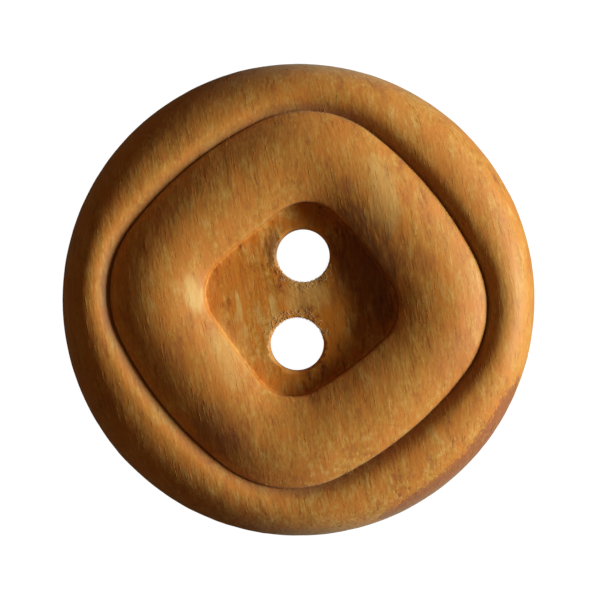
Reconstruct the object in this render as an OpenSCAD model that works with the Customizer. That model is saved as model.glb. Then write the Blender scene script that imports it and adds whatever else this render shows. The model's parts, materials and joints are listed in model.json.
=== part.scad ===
// Wooden two-hole sew-on button, turned and milled from one piece of wood.
// A round disc carries a raised ridge that runs round a soft square. A narrow groove parts the
// ridge from the round rim, and inside the ridge a shallow square hollow holds the two thread
// holes. The flat back lies on the XY plane, +Z points out of the front face, the thread holes
// stand on the Y axis, and the corners of both squares point along X and Y.

/* [Disc] */
// Diameter at the widest line of the edge
button_d = 23; // [19:0.5:34]
// Thickness from the flat back to the crest of the ridge
button_t = 4.4; // [4.1:0.1:6]
// Height of the widest line above the back
edge_h = 1.95; // [1.5:0.05:2.6]
// Radius of the rounding round the back
back_round = 1; // [0.4:0.1:1.4]

/* [Rim] */
// Width from the groove to the edge of the disc, at the middle of each side
rim_w = 3.2; // [2.4:0.1:4]
// Height of the rim's crest above the back
rim_h = 3.95; // [3.5:0.05:4.4]
// Distance of the rim's crest from the groove
rim_crest_w = 1.0; // [0.6:0.05:1.3]

/* [Groove] */
// Height of the groove's bottom above the back
groove_h = 3.5; // [2.8:0.05:3.6]
// Width of the groove's bottom
groove_w = 0.06; // [0.04:0.02:0.4]
// Radius of the gently bowed sides of the groove
groove_side_r = 17.5; // [14:0.5:40]
// Radius of the corners of the groove
groove_corner_r = 5.2; // [3:0.1:6]

/* [Ridge] */
// Height above the back at which the ridge's outer flank meets the groove
ridge_foot_h = 3.65; // [3.5:0.05:4]

/* [Hollow] */
// Width of the hollow at its lip, between the middles of opposite sides
hollow_w = 8.1; // [7.4:0.1:10]
// Radius of the gently bowed sides of the hollow
hollow_side_r = 25; // [12:0.5:60]
// Radius of the corners of the hollow
hollow_corner_r = 2.1; // [0.8:0.1:3.5]
// Height of the hollow's lip above the back
hollow_lip_h = 3.8; // [3:0.05:4]
// Width over which the hollow's wall curves up out of the floor
wall_w = 0.15; // [0.1:0.05:0.6]
// Thickness of the wood at the middle of the hollow
floor_t = 2.9; // [1.2:0.05:3]
// Depth to which the hollow's floor is dished
dish_depth = 0.25; // [0:0.05:0.4]

/* [Thread holes] */
// Diameter of each thread hole
hole_d = 2.6; // [1.6:0.1:3]
// Distance between the axes of the thread holes
hole_spacing = 4.3; // [3.6:0.1:5.2]
// Width of the broken edge at both mouths of a thread hole
hole_edge = 0.1; // [0.05:0.05:0.2]

/* [Hidden] */
$fn = 72;
WOOD = [0.80, 0.56, 0.30];
OVER = 1;            // how far a drill stands past the wood
TURN_STEPS = 80;     // sections round the disc
FLOOR_STEPS = 3;     // steps across the floor of the hollow
WALL_STEPS = 4;      // steps up the wall of the hollow
RIDGE_STEPS = 10;    // steps over the ridge
INNER_STEPS = 4;     // steps from the groove to the rim's crest
OUTER_STEPS = 9;     // steps from the rim's crest to the widest line
BACK_STEPS = 4;      // steps round the back's rounding

disc_r = button_d / 2;
hole_r = hole_d / 2;
groove_reach = disc_r - rim_w;
hollow_reach = hollow_w / 2;

// Distance from the axis to the edge of a circle of radius r, along a line that makes an angle
// of turn with the line to the circle's centre, which lies at a distance of away.
function ray_to_circle(turn, away, r) = away * cos(turn) + sqrt(pow(r, 2) - pow(away * sin(turn), 2));

// Distance from the axis to the outline of a soft square, at angle a. Each side is an arc of
// side_r whose centre lies beyond the axis, reach is the distance to a side's middle, and each
// corner is an arc of corner_r that is tangent to both its sides.
function soft_square(a, reach, side_r, corner_r) =
    let (
        turn = abs((a + 45) % 90 - 45),
        side_away = side_r - reach,
        leg = side_away / sqrt(2),
        corner_away = sqrt(pow(side_r - corner_r, 2) - pow(leg, 2)) - leg,
        tangent = atan2(leg, corner_away + leg),
        corner_end = atan2(corner_r * sin(tangent), corner_away + corner_r * cos(tangent))
    )
    turn < corner_end
        ? ray_to_circle(turn, corner_away, corner_r)
        : ray_to_circle(135 + turn, side_away, side_r);

// Half section of the button at angle a, as [distance from the axis, height above the back].
// It runs from the floor of the hollow over the front to the edge of the flat back.
function half_section(a) =
    let (
        lip_r = soft_square(a, hollow_reach, hollow_side_r, hollow_corner_r),
        groove_r = soft_square(a, groove_reach, groove_side_r, groove_corner_r),
        floor_r = lip_r - wall_w,
        floor_h = floor_t + dish_depth,
        rim_r = groove_r + rim_crest_w
    )
    [
        for (k = [1:FLOOR_STEPS])
            let (u = k / FLOOR_STEPS)
            [floor_r * u, floor_t + dish_depth * pow(u, 2)],
        for (k = [1:WALL_STEPS])
            let (u = 90 * k / WALL_STEPS)
            [floor_r + wall_w * sin(u), hollow_lip_h - (hollow_lip_h - floor_h) * cos(u)],
        for (k = [1:RIDGE_STEPS])
            let (u = 2 * k / RIDGE_STEPS - 1, foot_h = u < 0 ? hollow_lip_h : ridge_foot_h)
            [lip_r + (groove_r - lip_r) * (1 + u) / 2, button_t - (button_t - foot_h) * pow(u, 2)],
        for (k = [0:INNER_STEPS - 1])
            let (u = k / INNER_STEPS)
            [groove_r + groove_w + (rim_crest_w - groove_w) * u, rim_h - (rim_h - groove_h) * pow(1 - u, 2)],
        for (k = [0:OUTER_STEPS])
            let (u = 90 * k / OUTER_STEPS)
            [rim_r + (disc_r - rim_r) * sin(u), edge_h + (rim_h - edge_h) * cos(u)],
        for (k = [0:BACK_STEPS])
            let (u = 90 * k / BACK_STEPS)
            [disc_r - back_round * (1 - cos(u)), back_round * (1 - sin(u))],
    ];

// The whole relief: the half sections stand side by side round the axis.
module turned_disc() {
    sections = [for (i = [0:TURN_STEPS - 1]) half_section(360 * i / TURN_STEPS)];
    rows = len(sections[0]);
    points = [
        for (i = [0:TURN_STEPS - 1], p = sections[i])
            let (a = 360 * i / TURN_STEPS)
            [p[0] * cos(a), p[0] * sin(a), p[1]],
        [0, 0, floor_t],
    ];
    middle = len(points) - 1;
    faces = [
        for (i = [0:TURN_STEPS - 1])
            let (here = i * rows, next = (i + 1) % TURN_STEPS * rows)
            each [
                [middle, next, here],
                for (k = [0:rows - 2]) each [
                    [here + k, next + k, next + k + 1],
                    [here + k, next + k + 1, here + k + 1],
                ],
            ],
        [for (i = [0:TURN_STEPS - 1]) i * rows + rows - 1],
    ];
    polyhedron(points, faces, convexity = 6);
}

// One thread hole with both its edges broken.
module thread_hole() {
    front_h = floor_t + dish_depth * pow(hole_spacing / 2 / (hollow_reach - wall_w), 2);
    translate([0, 0, -OVER])
        cylinder(r = hole_r, h = button_t + 2 * OVER);
    translate([0, 0, -hole_edge])
        cylinder(r1 = hole_r + 2 * hole_edge, r2 = hole_r, h = 2 * hole_edge);
    translate([0, 0, front_h - hole_edge])
        cylinder(r1 = hole_r, r2 = hole_r + 2 * hole_edge, h = 2 * hole_edge);
}

module button_disc() {
    color(WOOD)
        difference() {
            turned_disc();
            for (side = [-1, 1])
                translate([0, side * hole_spacing / 2, 0])
                    thread_hole();
        }
}

button_disc();
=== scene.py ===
# A two-hole sew-on button turned from one piece of honey-stained wood, 23 mm across.
import json
import math

import bpy
from mathutils import Euler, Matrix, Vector


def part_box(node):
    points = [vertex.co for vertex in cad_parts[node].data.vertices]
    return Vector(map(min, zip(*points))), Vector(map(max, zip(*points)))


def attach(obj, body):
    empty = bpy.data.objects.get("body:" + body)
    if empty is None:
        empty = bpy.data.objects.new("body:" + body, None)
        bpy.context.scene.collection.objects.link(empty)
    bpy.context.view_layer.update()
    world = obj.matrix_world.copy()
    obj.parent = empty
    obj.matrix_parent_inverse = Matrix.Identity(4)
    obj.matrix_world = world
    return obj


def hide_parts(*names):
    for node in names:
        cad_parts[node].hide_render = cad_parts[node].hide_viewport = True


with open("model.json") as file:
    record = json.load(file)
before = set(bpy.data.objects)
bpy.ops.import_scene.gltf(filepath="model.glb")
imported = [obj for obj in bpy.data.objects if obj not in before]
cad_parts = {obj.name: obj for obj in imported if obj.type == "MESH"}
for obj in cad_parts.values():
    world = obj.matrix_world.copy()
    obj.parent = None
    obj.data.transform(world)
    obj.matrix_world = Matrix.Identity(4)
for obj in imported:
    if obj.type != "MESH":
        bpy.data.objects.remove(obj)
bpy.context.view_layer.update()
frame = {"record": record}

MM = 0.001
DEG = math.pi / 180
BACK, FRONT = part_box("button_disc")
DISC_R = (FRONT.x - BACK.x) / 2
THICK = FRONT.z - BACK.z
THREAD_HOLES = [m for m in frame["record"]["mounts"] if m["name"].startswith("thread_hole")]

# The cutter's settings for the front of the button.
RELIEF = {
    "Disc radius": DISC_R,
    "Crest height": THICK,
    "Edge height": 1.95 * MM,
    "Back rounding": 1.0 * MM,
    "Rim width": 3.2 * MM,
    "Rim height": 3.95 * MM,
    "Rim crest distance": 0.98 * MM,
    "Groove height": 3.5 * MM,
    "Groove width": 0.04 * MM,
    "Groove side radius": 17.5 * MM,
    "Groove corner radius": 5.2 * MM,
    "Groove turn": -1.7 * DEG,
    "Ridge foot height": 3.65 * MM,
    "Hollow reach": 4.05 * MM,
    "Hollow side radius": 25 * MM,
    "Hollow corner radius": 2.1 * MM,
    "Hollow turn": -3.2 * DEG,
    "Hollow shift": 0.13 * MM,
    "Lip height": 3.82 * MM,
    "Lip lean": 0.14 * MM,
    "Wall width": 0.12 * MM,
    "Floor thickness": 2.9 * MM,
    "Dish depth": 0.25 * MM,
}
LIP_LEAN_SIDE = 20 * DEG     # the side where the hollow's lip stands highest
HOLE_SPREAD = 0.09 * MM      # how far a thread hole's mouth opens
HOLES_OFF = 0.08 * MM        # how far the drill sat off the middle, towards +X
AROUND = 400                 # steps round the disc
HOLE_AROUND = 64             # steps round a thread hole
HOLE_RUN_OUT = 0.5 * MM      # how far the drill stands past the wood at each end
EDGE_SOFTENING = 2           # passes that wear the sharp edges down
UNEVENNESS = 0.012 * MM      # how far the cut surface waves

# Steps of each stretch of the half section, from the middle of the hollow round to the back.
STEPS = {
    "floor": 20,
    "wall": 16,
    "ridge inside": 26,
    "ridge outside": 28,
    "groove": 5,
    "rim inside": 12,
    "rim outside": 40,
    "side": 6,
    "back edge": 12,
    "back": 8,
}
LIP_ROW = STEPS["floor"] + STEPS["wall"]
GROOVE_ROW = LIP_ROW + STEPS["ridge inside"] + STEPS["ridge outside"] + STEPS["groove"]
RIM_SHADE_ROWS = 7.5         # rows of the rim that the painted shade in the groove reaches over
RIDGE_SHADE_ROWS = 4.5       # rows of the ridge that it reaches over

GRAIN_TURN = 14 * DEG        # the grain's lean from +Y towards -X
GRAIN_DIVE = 3 * DEG         # how steeply the grain runs down into the back


# ---------- node trees as formulas ----------

class Field:
    """A socket that reads as a number in a formula."""

    def __init__(self, tree, socket):
        self.tree, self.socket = tree, socket

    def math(self, operation, *values, clamp=False):
        node = self.tree.nodes.new("ShaderNodeMath")
        node.operation, node.use_clamp = operation, clamp
        for place, value in zip(node.inputs, values):
            feed(self.tree, place, value)
        return Field(self.tree, node.outputs[0])

    def __add__(self, other):
        return self.math("ADD", self, other)

    def __sub__(self, other):
        return self.math("SUBTRACT", self, other)

    def __rsub__(self, other):
        return self.math("SUBTRACT", other, self)

    def __mul__(self, other):
        return self.math("MULTIPLY", self, other)

    def __truediv__(self, other):
        return self.math("DIVIDE", self, other)

    def __pow__(self, other):
        return self.math("POWER", self, other)

    __radd__, __rmul__ = __add__, __mul__

    def clamped(self):
        return self.math("ADD", self, 0.0, clamp=True)


def feed(tree, place, value):
    """Links a field to an input, or sets the input's own value."""
    if isinstance(value, Field):
        tree.links.new(value.socket, place)
    else:
        place.default_value = value


def sine(x):
    return x.math("SINE", x)


def cosine(x):
    return x.math("COSINE", x)


def root(x):
    return x.math("SQRT", x)


def arc_tangent(y, x):
    return y.math("ARCTAN2", y, x)


def node_of(tree, kind, settings=None, **inputs):
    """A new node with its settings and its inputs, whose names have _ for a space."""
    node = tree.nodes.new(kind)
    for name, value in (settings or {}).items():
        setattr(node, name, value)
    for name, value in inputs.items():
        feed(tree, node.inputs[name.replace("_", " ")], value)
    return node


# ---------- the wood's own grain ----------

def vector_math(operation, a, b=(0, 0, 0), scale=1.0):
    """A vector made from two others, or from one and a scale."""
    tree = a.tree
    node = tree.nodes.new("ShaderNodeVectorMath")
    node.operation = operation
    feed(tree, node.inputs[0], a)
    if operation == "SCALE":
        feed(tree, node.inputs["Scale"], scale)
    else:
        feed(tree, node.inputs[1], b)
    return Field(tree, node.outputs[0])


def parts(vector):
    """The x, y and z of a vector field."""
    split = node_of(vector.tree, "ShaderNodeSeparateXYZ", Vector=vector)
    return [Field(vector.tree, socket) for socket in split.outputs]


def in_grain(place):
    """A place in the wood's own millimetres: x across the fibres, y along them."""
    turned = node_of(place.tree, "ShaderNodeVectorRotate",
                     {"rotation_type": "EULER_XYZ", "invert": True},
                     Vector=place, Rotation=(-GRAIN_DIVE, 0, GRAIN_TURN))
    return vector_math("SCALE", Field(place.tree, turned.outputs[0]), scale=1 / MM)


def wood_noise(grain, scale, stretch, detail=2.0, offset=0.0, distortion=0.0):
    """Noise of so many features a millimetre across, drawn out along the fibres; 0 on average."""
    place = vector_math("MULTIPLY", grain, (scale, scale / stretch, scale))
    place = vector_math("ADD", place, (offset, offset, offset))
    noise = node_of(grain.tree, "ShaderNodeTexNoise", Vector=place,
                    Scale=1.0, Detail=detail, Roughness=0.6, Distortion=distortion)
    return (Field(grain.tree, noise.outputs[0]) - 0.5) * 4.0


def ramp(x, low, high):
    """0 below low, 1 above high and smooth between."""
    node = node_of(x.tree, "ShaderNodeMapRange", {"interpolation_type": "SMOOTHSTEP"},
                   Value=x, From_Min=low, From_Max=high)
    return Field(x.tree, node.outputs[0])


# ---------- the turned and milled body ----------

def ray_to_circle(turn, away, r):
    """Distance from the axis to a circle's edge, along a line turned from the circle's centre."""
    return away * cosine(turn) + root(r ** 2.0 - (away * sine(turn)) ** 2.0)


def soft_square(angle, reach, side_r, corner_r):
    """Distance from the axis to the outline of a square with bowed sides and round corners."""
    quarter, half = math.pi / 2, math.pi / 4
    turned = angle + (4 * math.pi + half)
    turn = turned.math("MODULO", turned, quarter) - half
    turn = turn.math("ABSOLUTE", turn)
    side_away = side_r - reach
    leg = side_away / math.sqrt(2)
    corner_away = root((side_r - corner_r) ** 2.0 - leg ** 2.0) - leg
    tangent = arc_tangent(leg, corner_away + leg)
    corner_end = arc_tangent(corner_r * sine(tangent), corner_away + corner_r * cosine(tangent))
    at_corner = turn.math("LESS_THAN", turn, corner_end)
    corner = ray_to_circle(turn, corner_away, corner_r)
    side = ray_to_circle(turn + (half + quarter), side_away, side_r)
    return side + (corner - side) * at_corner


def straight(u):
    return u


def hollowing(u):
    return u * u


def swelling(u):
    return u * (2.0 - u)


def quarter_out(u):
    return sine(u * (math.pi / 2))


def quarter_down(u):
    return 1.0 - cosine(u * (math.pi / 2))


def section(row, start_z, stretches):
    """Radius and height of a row, from stretches of (rows, outwards, its shape, upwards, its shape)."""
    radius, height, first = 0.0, start_z, 0
    for rows, outwards, out_shape, upwards, up_shape in stretches:
        u = ((row - first) / rows).clamped()
        radius = out_shape(u) * outwards + radius
        height = up_shape(u) * upwards + height
        first += rows
    return radius, height


def groove_shade(row):
    """Where the groove's painted shade lies: 1 in the groove, fading out over the rim's inner flank,
    and sooner up the ridge.
    """
    off = row - GROOVE_ROW
    return (1.0 - off.math("MAXIMUM", off / RIM_SHADE_ROWS, off / -RIDGE_SHADE_ROWS)).clamped()


def within_lip(row):
    """1 on the walls and the floor of the hollow, 0 on the rest."""
    return (LIP_ROW + 0.5 - row).clamped()


def lathe(tree, around, rows, outline, centre=(0, 0, 0), zones=None):
    """A closed turned skin. outline(angle, row) gives each point's radius and height.

    zones names the attributes that the colour follows, the painted shade in the groove among them, each
    with its formula for a row.
    """
    sheet = node_of(tree, "GeometryNodeMeshGrid", Size_X=1.0, Size_Y=1.0,
                    Vertices_X=around + 1, Vertices_Y=rows + 1)
    flat = node_of(tree, "ShaderNodeSeparateXYZ",
                   Vector=Field(tree, node_of(tree, "GeometryNodeInputPosition").outputs[0]))
    angle = (0.5 - Field(tree, flat.outputs[0])) * (2 * math.pi)
    row = (Field(tree, flat.outputs[1]) + 0.5) * float(rows)
    radius, height = outline(angle, row)
    place = node_of(tree, "ShaderNodeCombineXYZ", X=radius * cosine(angle) + centre[0],
                    Y=radius * sine(angle) + centre[1], Z=height + centre[2])
    skin = sheet
    for name, share in (zones or {}).items():
        skin = node_of(tree, "GeometryNodeStoreNamedAttribute", Geometry=Field(tree, skin.outputs[0]),
                       Name=name, Value=share(row))
    moved = node_of(tree, "GeometryNodeSetPosition", Geometry=Field(tree, skin.outputs[0]),
                    Position=Field(tree, place.outputs[0]))
    return node_of(tree, "GeometryNodeMergeByDistance", Geometry=Field(tree, moved.outputs[0]),
                   Distance=1e-6).outputs[0]


def button_outline(size):
    """The button's half section, from the floor of the hollow over the front to the back."""
    def outline(angle, row):
        lip = soft_square(angle - size["Hollow turn"], size["Hollow reach"],
                          size["Hollow side radius"], size["Hollow corner radius"])
        lip = lip + size["Hollow shift"] * cosine(angle)
        groove = soft_square(angle - size["Groove turn"], size["Disc radius"] - size["Rim width"],
                             size["Groove side radius"], size["Groove corner radius"])
        lip_height = size["Lip height"] + size["Lip lean"] * cosine(angle - LIP_LEAN_SIDE)
        floor_edge = size["Floor thickness"] + size["Dish depth"]
        flank = (groove - lip) * 0.5
        crest = size["Crest height"]
        rim_out = size["Disc radius"] - groove - size["Rim crest distance"]
        stretches = [
            (STEPS["floor"], lip - size["Wall width"], straight, size["Dish depth"], hollowing),
            (STEPS["wall"], size["Wall width"], quarter_out, lip_height - floor_edge, quarter_down),
            (STEPS["ridge inside"], flank, straight, crest - lip_height, swelling),
            (STEPS["ridge outside"], flank, straight, size["Ridge foot height"] - crest, hollowing),
            (STEPS["groove"], size["Groove width"], straight,
             size["Groove height"] - size["Ridge foot height"], straight),
            (STEPS["rim inside"], size["Rim crest distance"] - size["Groove width"], straight,
             size["Rim height"] - size["Groove height"], swelling),
            (STEPS["rim outside"], rim_out, quarter_out,
             size["Edge height"] - size["Rim height"], quarter_down),
            (STEPS["side"], 0.0, straight, size["Back rounding"] - size["Edge height"], straight),
            (STEPS["back edge"], size["Back rounding"] * -1.0, quarter_down,
             size["Back rounding"] * -1.0, quarter_out),
            (STEPS["back"], size["Back rounding"] - size["Disc radius"], straight, 0.0, straight),
        ]
        return section(row, size["Floor thickness"], stretches)
    return outline, sum(STEPS.values())


def drill_outline(hole_r, spread, floor_z, past):
    """A drill's half section from its top to its tip, flared where it meets the floor and the back."""
    stretches = [
        (1, hole_r + spread, straight, 0.0, straight),
        (1, 0.0, straight, -past, straight),
        (6, -spread, quarter_out, -spread, quarter_down),
        (4, 0.0, straight, 2 * spread - floor_z, straight),
        (6, spread, quarter_down, -spread, quarter_out),
        (1, 0.0, straight, -past, straight),
        (1, -hole_r - spread, straight, 0.0, straight),
    ]

    def outline(angle, row):
        return section(row, floor_z + past, stretches)
    return outline, sum(stretch[0] for stretch in stretches)


def body_tree():
    """Geometry Nodes that turn the disc, wear its edges and drill its thread holes."""
    tree = bpy.data.node_groups.new("turned button", "GeometryNodeTree")
    tree.interface.new_socket("Geometry", in_out="OUTPUT", socket_type="NodeSocketGeometry")
    names = [*RELIEF, "Unevenness", "Wear passes"]
    for name in names:
        kind = "NodeSocketInt" if name == "Wear passes" else "NodeSocketFloat"
        tree.interface.new_socket(name, in_out="INPUT", socket_type=kind)
    tree.interface.new_socket("Wood", in_out="INPUT", socket_type="NodeSocketMaterial")
    given = tree.nodes.new("NodeGroupInput")
    size = {name: Field(tree, given.outputs[name]) for name in names}

    outline, rows = button_outline(size)
    disc = lathe(tree, AROUND, rows, outline, zones={"groove": groove_shade, "hollow": within_lip})
    place = Field(tree, node_of(tree, "GeometryNodeInputPosition").outputs[0])
    worn = node_of(tree, "GeometryNodeBlurAttribute", {"data_type": "FLOAT_VECTOR"},
                   Iterations=size["Wear passes"])
    tree.links.new(place.socket, next(s for s in worn.inputs if s.type == "VECTOR" and s.enabled))
    worn_place = next(s for s in worn.outputs if s.type == "VECTOR" and s.enabled)
    disc = node_of(tree, "GeometryNodeSetPosition", Geometry=Field(tree, disc),
                   Position=Field(tree, worn_place)).outputs[0]

    place = Field(tree, node_of(tree, "GeometryNodeInputPosition").outputs[0])
    normal = Field(tree, node_of(tree, "GeometryNodeInputNormal").outputs[0])
    grain = in_grain(place)
    waves = wood_noise(grain, 2.2, 5.0) * 0.6 + wood_noise(grain, 0.5, 2.0, offset=5.0)
    hollow = Field(tree, node_of(tree, "GeometryNodeInputNamedAttribute", Name="hollow").outputs[0])
    waves = waves * (hollow * 1.5 + 1.0) * size["Unevenness"]
    disc = node_of(tree, "GeometryNodeSetPosition", Geometry=Field(tree, disc),
                   Offset=vector_math("SCALE", normal, scale=waves)).outputs[0]

    drilled = node_of(tree, "GeometryNodeMeshBoolean",
                      {"operation": "DIFFERENCE", "solver": "MANIFOLD"})
    tree.links.new(disc, drilled.inputs["Mesh 1"])
    for hole in THREAD_HOLES:
        x, y, _ = hole["pos_m"]
        hole_r = hole["dims"]["r_mm"] * MM
        floor_z = (RELIEF["Floor thickness"]
                   + RELIEF["Dish depth"] * (math.hypot(x, y) / RELIEF["Hollow reach"]) ** 2)
        outline, rows = drill_outline(hole_r, HOLE_SPREAD, floor_z, HOLE_RUN_OUT)
        drill = lathe(tree, HOLE_AROUND, rows, outline, (x + HOLES_OFF, y, 0.0))
        tree.links.new(drill, drilled.inputs["Mesh 2"])

    smooth = node_of(tree, "GeometryNodeSetShadeSmooth", Geometry=Field(tree, drilled.outputs[0]))
    real = node_of(tree, "GeometryNodeRealizeInstances", Geometry=Field(tree, smooth.outputs[0]))
    finished = node_of(tree, "GeometryNodeSetMaterial", Geometry=Field(tree, real.outputs[0]),
                       Material=Field(tree, given.outputs["Wood"]))
    out = tree.nodes.new("NodeGroupOutput")
    tree.links.new(finished.outputs[0], out.inputs[0])
    return tree


def grown(name, tree, values, base=None):
    """The plain mesh that a geometry tree makes, from nothing or from another piece's mesh."""
    start = base.data.copy() if base else bpy.data.meshes.new(name)
    seed = bpy.data.objects.new(name, start)
    bpy.context.collection.objects.link(seed)
    maker = seed.modifiers.new("maker", "NODES")
    maker.node_group = tree
    for item in tree.interface.items_tree:
        if item.in_out == "INPUT" and item.name in values:
            maker[item.identifier] = values[item.name]
    evaluated = seed.evaluated_get(bpy.context.evaluated_depsgraph_get())
    mesh = bpy.data.meshes.new_from_object(evaluated)
    mesh.name = name
    seed.modifiers.remove(maker)
    seed.data = mesh
    return seed


# ---------- fibres that stand off the wood ----------

def anywhere(place):
    """Selects the whole front."""
    return ramp(parts(place)[2], 2.0 * MM, 2.2 * MM)


def round_the_holes(place):
    """Selects the floor of the hollow between the thread holes and close to them."""
    x, y, z = parts(place)
    near = 0.0
    for hole in THREAD_HOLES:
        hole_x, hole_y, _ = hole["pos_m"]
        away = root((x - (hole_x + HOLES_OFF)) ** 2.0 + (y - hole_y) ** 2.0)
        near = 1.0 - ramp(away, 1.5 * MM, 1.8 * MM) + near
    middle = 1.0 - ramp(y.math("ABSOLUTE", y), 1.5 * MM, 2.1 * MM)
    return near * middle * ramp(z, 2.7 * MM, 2.85 * MM)


def random_value(tree, low, high, seed):
    """A random number for each point."""
    node = tree.nodes.new("FunctionNodeRandomValue")
    feed(tree, node.inputs[2], low)
    feed(tree, node.inputs[3], high)
    feed(tree, node.inputs["Seed"], seed)
    return Field(tree, node.outputs[1])


FIBRE_INPUTS = ["Density", "Length", "Thickness", "Lift", "Turn spread"]


def fibre_tree(name, where, seed):
    """Geometry Nodes that lay thin fibres along the grain on a surface and lift one end of each."""
    tree = bpy.data.node_groups.new(name, "GeometryNodeTree")
    tree.interface.new_socket("Geometry", in_out="INPUT", socket_type="NodeSocketGeometry")
    tree.interface.new_socket("Geometry", in_out="OUTPUT", socket_type="NodeSocketGeometry")
    for label in FIBRE_INPUTS:
        tree.interface.new_socket(label, in_out="INPUT", socket_type="NodeSocketFloat")
    tree.interface.new_socket("Wood", in_out="INPUT", socket_type="NodeSocketMaterial")
    given = tree.nodes.new("NodeGroupInput")
    size = {label: Field(tree, given.outputs[label]) for label in FIBRE_INPUTS}
    surface = Field(tree, given.outputs["Geometry"])
    place = Field(tree, node_of(tree, "GeometryNodeInputPosition").outputs[0])
    normal = Field(tree, node_of(tree, "GeometryNodeInputNormal").outputs[0])

    chance = where(place)
    chosen = chance.math("GREATER_THAN", chance, 0.5)
    points = node_of(tree, "GeometryNodeDistributePointsOnFaces", Mesh=surface, Selection=chosen,
                     Density=size["Density"], Seed=seed)
    line = node_of(tree, "GeometryNodeCurvePrimitiveLine", Start=(0, -0.5, 0), End=(0, 0.5, 0))
    fibre = node_of(tree, "GeometryNodeResampleCurve", Curve=Field(tree, line.outputs[0]), Count=6)
    lean = random_value(tree, size["Turn spread"] * -1.0, size["Turn spread"], seed + 1) + GRAIN_TURN
    turn = node_of(tree, "ShaderNodeCombineXYZ", Z=lean)
    long = size["Length"] * random_value(tree, 0.4, 1.3, seed + 2)
    scale = node_of(tree, "ShaderNodeCombineXYZ", X=1.0, Y=long, Z=1.0)
    laid = node_of(tree, "GeometryNodeInstanceOnPoints", Points=Field(tree, points.outputs[0]),
                   Instance=Field(tree, fibre.outputs[0]), Rotation=Field(tree, turn.outputs[0]),
                   Scale=Field(tree, scale.outputs[0]))
    laid = node_of(tree, "GeometryNodeRealizeInstances", Geometry=Field(tree, laid.outputs[0]))

    nearest = node_of(tree, "GeometryNodeProximity", {"target_element": "FACES"}, Target=surface)
    facing = tree.nodes.new("GeometryNodeSampleNearestSurface")
    facing.data_type = "FLOAT_VECTOR"
    feed(tree, facing.inputs["Mesh"], surface)
    feed(tree, next(i for i in facing.inputs if i.type == "VECTOR" and i.enabled), normal)
    outward = Field(tree, next(o for o in facing.outputs if o.type == "VECTOR" and o.enabled))
    along = Field(tree, node_of(tree, "GeometryNodeSplineParameter").outputs[0])
    curl = along * along * size["Lift"]
    hugging = node_of(tree, "GeometryNodeSetPosition", Geometry=Field(tree, laid.outputs[0]),
                      Position=Field(tree, nearest.outputs["Position"]),
                      Offset=vector_math("SCALE", outward, scale=curl))
    profile = node_of(tree, "GeometryNodeCurvePrimitiveCircle", Resolution=4,
                      Radius=size["Thickness"] * 0.5)
    taper = root(1.02 - (along * 2.0 - 1.0) ** 4.0)
    body = node_of(tree, "GeometryNodeCurveToMesh", Curve=Field(tree, hugging.outputs[0]),
                   Profile_Curve=Field(tree, profile.outputs[0]), Scale=taper, Fill_Caps=True)
    real = node_of(tree, "GeometryNodeRealizeInstances", Geometry=Field(tree, body.outputs[0]))
    finished = node_of(tree, "GeometryNodeSetMaterial", Geometry=Field(tree, real.outputs[0]),
                       Material=Field(tree, given.outputs["Wood"]))
    out = tree.nodes.new("NodeGroupOutput")
    tree.links.new(finished.outputs[0], out.inputs[0])
    return tree


# ---------- stained wood ----------

def tinted(colour, amount, tint):
    """The colour moved towards a tint by an amount from 0 to 1."""
    node = colour.tree.nodes.new("ShaderNodeMix")
    node.data_type = "RGBA"
    feed(colour.tree, node.inputs[0], amount)
    feed(colour.tree, node.inputs[6], colour)
    feed(colour.tree, node.inputs[7], (*tint, 1))
    return Field(colour.tree, node.outputs[2])


# Tints of the stained wood, as linear red, green and blue. UMBER also serves as painted shade, and
# STRAW as painted highlight.
UMBER = (0.22, 0.062, 0.004)
RUSSET = (0.50, 0.130, 0.006)
ORANGE = (0.74, 0.230, 0.006)
HONEY = (0.68, 0.280, 0.014)
STRAW = (0.90, 0.560, 0.150)
BARE = (0.37, 0.093, 0.014)
BARE_SIDE = -41 * DEG        # the middle of the bare stretch of the outer edge

# Where the stain took unevenly, with two painted highlights and one painted shade among them:
# the middle across and along the grain, the half width and the half length, all in mm, then the amount
# and the tint.
STAIN_AND_LIGHT_MARKS = [
    # Painted highlight on the ridge's inner slope at the left, which faces the lamp.
    (-4.9, 1.0, 0.4, 0.9, 0.7, STRAW),
    (5.0, 4.0, 0.7, 1.7, 0.4, STRAW),
    (3.2, 4.8, 0.4, 0.4, 0.6, RUSSET),
    (4.9, 0.8, 0.6, 0.5, 0.5, RUSSET),
    (6.3, 0.5, 0.6, 0.5, 0.4, RUSSET),
    (-5.4, -5.4, 0.6, 1.0, 0.4, UMBER),
    (-4.6, -6.5, 0.9, 0.5, 0.4, UMBER),
    (-4.9, -6.0, 1.5, 1.6, 0.4, RUSSET),
    (-2.6, 1.0, 0.8, 1.2, 0.5, ORANGE),
    (0.3, 0.0, 1.0, 0.8, 0.5, STRAW),
    (6.9, -4.4, 1.2, 1.6, 0.35, RUSSET),
    (-3.8, -1.9, 0.9, 1.6, 0.35, STRAW),
    (-6.2, -2.1, 0.3, 0.9, 0.4, RUSSET),
    (-0.8, 2.5, 0.5, 0.8, 0.7, UMBER),
    (-2.9, 0.0, 0.12, 0.6, 0.8, STRAW),
    (-1.3, -0.1, 0.12, 0.4, 0.8, STRAW),
    # Painted shade over the hollow's floor and wall on the side away from the lamp.
    (3.4, 0.5, 1.4, 2.8, 0.75, UMBER),
    # Painted highlight on the outer rim where it faces the lamp, standing in for the sheen of the long
    # fibres.
    (10.4, -2.6, 1.1, 4.0, 0.15, STRAW),
]


def zone(tree, name):
    """The attribute that the lathe left on the skin, as the material reads it."""
    return Field(tree, node_of(tree, "ShaderNodeAttribute", {"attribute_name": name}).outputs["Fac"])


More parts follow.
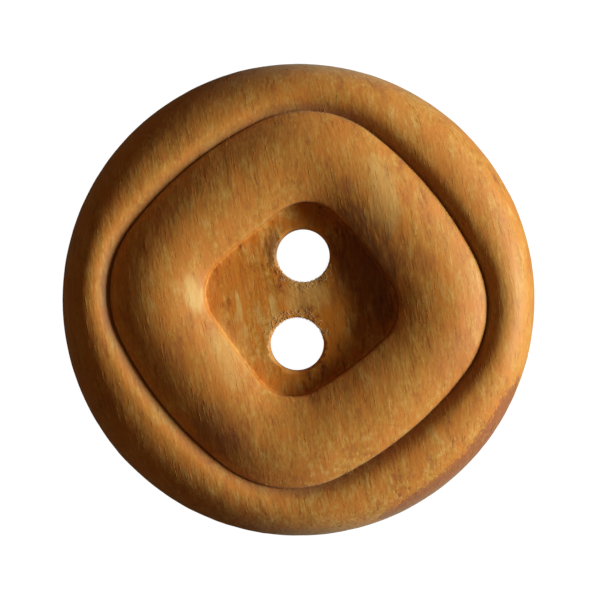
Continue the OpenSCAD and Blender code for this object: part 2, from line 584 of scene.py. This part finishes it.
def bare_edge(place, fibres):
    """1 on the stretch of the outer edge that the stain missed. Its border tears along the fibres."""
    x, y, z = parts(place)
    away = root(x * x + y * y)
    facing = (x * math.cos(BARE_SIDE) + y * math.sin(BARE_SIDE)) / away
    spread = ramp(facing, 0.86, 0.97)
    border = away + fibres * 0.22 * MM + (spread - 1.0) * 0.6 * MM
    lower = z + fibres * 0.2 * MM + (spread - 1.0) * 1.4 * MM
    band = ramp(border, 10.86 * MM, 11.0 * MM) * ramp(lower, 1.5 * MM, 2.0 * MM)
    return band * (fibres * -0.3 + 0.9).clamped()


def stained_wood():
    """Satin stained wood: fine fibres, strands, pores and a broad figure run along one grain."""
    material = bpy.data.materials.new("stained wood")
    material.use_nodes = True
    tree = material.node_tree
    place = Field(tree, node_of(tree, "ShaderNodeTexCoord").outputs["Object"])
    grain = in_grain(place)
    groove = zone(tree, "groove")
    hollow = zone(tree, "hollow")
    fibres = wood_noise(grain, 8.0, 7.0, detail=2.0)
    grit = wood_noise(grain, 6.0, 1.5, detail=2.0, offset=7.0)
    strands = wood_noise(grain, 2.4, 4.0, detail=3.0, offset=11.0)
    mottle = wood_noise(grain, 1.5, 1.6, detail=3.0, offset=23.0)
    figure = wood_noise(grain, 0.5, 1.8, detail=3.0, offset=37.0, distortion=0.7)
    warmth = wood_noise(grain, 1.3, 2.0, detail=4.0, offset=53.0, distortion=0.4)
    pores = ramp(wood_noise(grain, 4.5, 6.0, detail=1.0, offset=71.0), 0.85, 1.25)
    flecks = ramp(wood_noise(grain, 7.0, 1.8, detail=1.0, offset=101.0), 0.85, 1.2)

    across, along, _ = parts(grain)
    foot = ramp(along * -1.0, 6.0, 8.5)    # the end of the disc where the grain runs out
    blotchy = hollow * 0.9 + foot * 0.2 + 1.0
    tone = fibres * 0.16 + grit * 0.14 + strands * 0.20 + mottle * 0.13 + figure * 0.13
    tone = tone * blotchy + 0.5 - pores * 0.25 + flecks * ramp(figure, 0.0, 0.8) * 0.2
    scale = node_of(tree, "ShaderNodeValToRGB", Fac=tone)
    stops = scale.color_ramp.elements
    stops[0].position, stops[0].color = 0.0, (*UMBER, 1)
    stops[1].position, stops[1].color = 1.0, (*STRAW, 1)
    for position, tint in ((0.2, RUSSET), (0.5, HONEY)):
        stops.new(position).color = (*tint, 1)
    colour = Field(tree, scale.outputs[0])
    colour = tinted(colour, ramp((warmth + strands * 0.4 - fibres * 0.4) * blotchy, -0.8, 0.9) * 0.9,
                    ORANGE)

    stray = wood_noise(grain, 2.0, 3.0, detail=3.0, offset=91.0)
    for mark_x, mark_y, half_x, half_y, amount, tint in STAIN_AND_LIGHT_MARKS:
        off = ((across - mark_x) / half_x) ** 2.0 + ((along - mark_y) / half_y) ** 2.0
        mark = 1.0 - ramp(off + stray + fibres * 0.4, 0.1, 1.9)
        colour = tinted(colour, mark * amount, tint)
    colour = tinted(colour, hollow * ramp(fibres + strands, -0.6, 1.2) * 0.35, RUSSET)
    # Towards the foot, pale and dark dashes of end grain; the pale ones also stand in for glints off
    # the fibre ends, a painted highlight.
    dashes = wood_noise(grain, 5.0, 5.0, detail=2.0, offset=131.0)
    colour = tinted(colour, foot * ramp(dashes, 0.2, 1.0) * 0.6, STRAW)
    colour = tinted(colour, foot * ramp(dashes * -1.0, 0.2, 1.0) * 0.5, RUSSET)
    # Painted shade on the hollow's wall, darkest on its +x side, which faces away from the lamp.
    wall = hollow * ramp(parts(place)[2], 3.15 * MM, 3.3 * MM)
    colour = tinted(colour, wall * (ramp(across, -2.0, 2.0) * 0.6 + 0.15), UMBER)
    # Painted shade in the groove and up its flanks, where the crease lies in shadow.
    colour = tinted(colour, groove * 0.75, UMBER)
    colour = tinted(colour, bare_edge(place, fibres), BARE)

    shader = tree.nodes["Principled BSDF"]
    shader.inputs["Roughness"].default_value = 0.6
    shader.inputs["Sheen Roughness"].default_value = 0.6
    shader.inputs["Sheen Tint"].default_value = (0.85, 1, 0.8, 1)
    feed(tree, shader.inputs["Sheen Weight"], 0.3 - hollow * 0.25)
    tree.links.new(colour.socket, shader.inputs["Base Color"])
    bump = node_of(tree, "ShaderNodeBump", Strength=0.35, Distance=0.02 * MM,
                   Height=fibres * 0.4 + grit * 0.4 + strands * 0.3 - pores)
    tree.links.new(bump.outputs[0], shader.inputs["Normal"])
    return material


def pale_fibre():
    """The bare paler wood of a torn fibre."""
    material = bpy.data.materials.new("pale fibre")
    material.use_nodes = True
    shader = material.node_tree.nodes["Principled BSDF"]
    shader.inputs["Base Color"].default_value = (0.85, 0.62, 0.28, 1)
    shader.inputs["Roughness"].default_value = 0.6
    return material


# ---------- the scene round the button ----------

def look_down():
    """A long lens straight above the button, rolled so that the thread holes lean."""
    roll = 3.8 * DEG
    distance = 0.3
    width = 29.25 * MM
    aim = Vector((0.073 * MM, -0.015 * MM, 0))
    aim.rotate(Euler((0, 0, roll)))
    lens = bpy.data.cameras.new("long lens")
    lens.sensor_width = 36
    lens.lens = lens.sensor_width * (distance - RELIEF["Edge height"]) / width
    lens.clip_start = 0.01
    camera = bpy.data.objects.new("camera", lens)
    camera.location = (aim.x, aim.y, distance)
    camera.rotation_euler = (0, 0, roll)
    bpy.context.collection.objects.link(camera)
    bpy.context.scene.camera = camera


def soft_light(name, azimuth, elevation, distance, wide, tall, power, colour):
    """A soft box that faces the button."""
    lamp = bpy.data.lights.new(name, "AREA")
    lamp.shape, lamp.size, lamp.size_y = "RECTANGLE", wide, tall
    lamp.energy, lamp.color = power, colour
    light = bpy.data.objects.new(name, lamp)
    direction = Vector((math.cos(azimuth) * math.cos(elevation),
                        math.sin(azimuth) * math.cos(elevation), math.sin(elevation)))
    light.location = direction * distance
    light.rotation_euler = direction.to_track_quat("Z", "Y").to_euler()
    bpy.context.collection.objects.link(light)


def pale_floor():
    """A wide pale floor that curves up into its own backdrop, and lights nothing."""
    rings = [(0.0, 0.0), (0.5, 0.0), (0.8, 0.03), (0.95, 0.15), (1.0, 0.4), (1.0, 1.2)]
    sides = 64
    points = [(r * math.cos(2 * math.pi * i / sides), r * math.sin(2 * math.pi * i / sides), z)
              for r, z in rings[1:] for i in range(sides)]
    faces = [tuple(range(sides))]
    for k in range(len(rings) - 2):
        for i in range(sides):
            j = (i + 1) % sides
            faces.append((k * sides + i, k * sides + j, (k + 1) * sides + j, (k + 1) * sides + i))
    mesh = bpy.data.meshes.new("pale floor")
    mesh.from_pydata(points, [], faces)
    material = bpy.data.materials.new("pale floor")
    material.use_nodes = True
    shader = material.node_tree.nodes["Principled BSDF"]
    shader.inputs["Base Color"].default_value = (0.1, 0.1, 0.1, 1)
    shader.inputs["Roughness"].default_value = 1
    shader.inputs["Emission Color"].default_value = (1, 1, 1, 1)
    shader.inputs["Emission Strength"].default_value = 1.0
    mesh.materials.append(material)
    floor = bpy.data.objects.new("pale_floor", mesh)
    bpy.context.collection.objects.link(floor)
    floor.visible_diffuse = floor.visible_glossy = False


def studio():
    scene = bpy.context.scene
    scene.view_settings.view_transform = "Standard"
    world = bpy.data.worlds.new("studio")
    world.use_nodes = True
    world.node_tree.nodes["Background"].inputs["Color"].default_value = (1, 0.62, 0.36, 1)
    world.node_tree.nodes["Background"].inputs["Strength"].default_value = 0.08
    scene.world = world
    soft_light("key", azimuth=8 * DEG, elevation=19 * DEG, distance=0.35,
               wide=0.22, tall=0.09, power=1.67, colour=(0.96, 1, 1))


look_down()
studio()
pale_floor()

wood = stained_wood()
button = grown("button_body", body_tree(), {**RELIEF, "Unevenness": UNEVENNESS,
                                           "Wear passes": EDGE_SOFTENING, "Wood": wood})
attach(button, "root")
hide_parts("button_disc")

pale = pale_fibre()
fibres = grown("raised_fibres", fibre_tree("raised fibres", anywhere, 3), {
    "Density": 2e6, "Length": 0.8 * MM, "Thickness": 0.012 * MM, "Lift": 0.004 * MM,
    "Turn spread": 6 * DEG, "Wood": wood}, button)
fuzz = grown("hole_fuzz", fibre_tree("hole fuzz", round_the_holes, 8), {
    "Density": 4e7, "Length": 0.26 * MM, "Thickness": 0.018 * MM, "Lift": 0.05 * MM,
    "Turn spread": 70 * DEG, "Wood": pale}, button)
for piece in (fibres, fuzz):
    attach(piece, "root")
